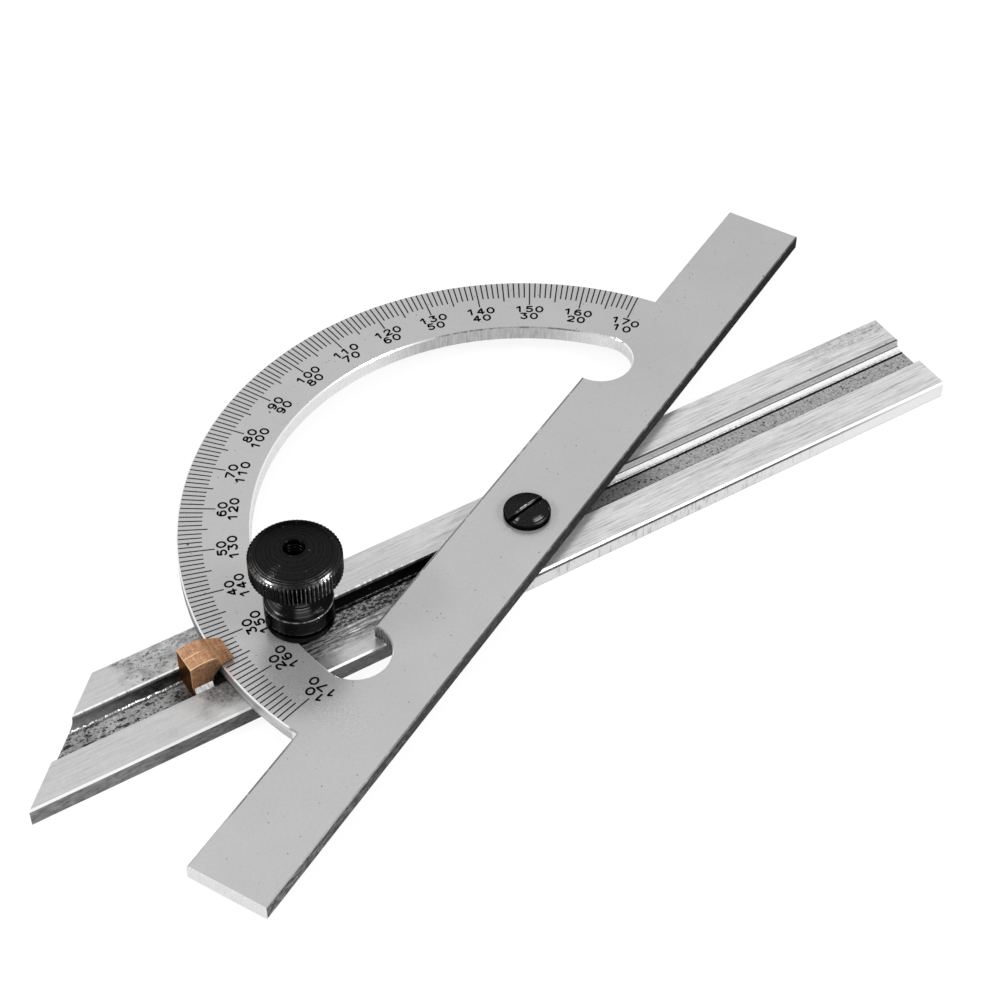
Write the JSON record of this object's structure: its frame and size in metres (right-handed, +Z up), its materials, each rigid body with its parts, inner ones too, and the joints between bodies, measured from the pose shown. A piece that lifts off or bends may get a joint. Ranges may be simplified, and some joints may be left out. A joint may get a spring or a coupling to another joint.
{
  "type": "angle finder",
  "caption": "Angle finder with two arms: a half-circle plate graduated in degrees swings on a grooved arm, with a pointer over the scale and a knurled clamp nut.",
  "frame": {"origin": "on the axis of the pivot, in the plane of the arm's underside, on which the tool lies", "axes": "+X along the arm towards its slanted end and the pointer, +Z up along the pivot's axis, +Y towards the arm's longer edge"},
  "size_m": [0.1214, 0.0714, 0.016],
  "materials": {
    "plate_steel": "satin ground steel",
    "arm_steel": "steel brushed along its length",
    "inner_steel": "turned and milled steel",
    "black_steel": "turned steel with a black oxide finish",
    "copper": "filed copper alloy",
    "solder": "bright solder"
  },
  "bodies": {
    "arm": {"grooved_arm": "arm_steel", "pivot_key": "inner_steel", "pivot_bush": "inner_steel", "pivot_screw": "black_steel", "clamp_stud": "black_steel", "pointer": "copper", "pointer_solder": "solder"},
    "plate": {"protractor_plate": "plate_steel"},
    "jaw": {"clamp_jaw": "black_steel"},
    "nut": {"clamp_nut": "black_steel"}
  },
  "joints": [
    {"name": "plate_swing", "type": "hinge", "parent": "arm", "child": "plate", "pos_m": [0, 0, 0.00355], "axis": [0, 0, 1], "range_deg": [-17, 143]},
    {"name": "clamp_lift", "type": "slide", "parent": "arm", "child": "jaw", "axis": [0, 0, 1], "range_m": [0, 0.000675]},
    {"name": "nut_turn", "type": "hinge", "parent": "jaw", "child": "nut", "pos_m": [0.02953, 0, 0.007], "axis": [0, 0, 1], "range_deg": [0, 545]}
  ],
  "couplings": [
    {"joint": "nut_turn", "follows": "clamp_lift", "rad_per_m": 13963}
  ]
}
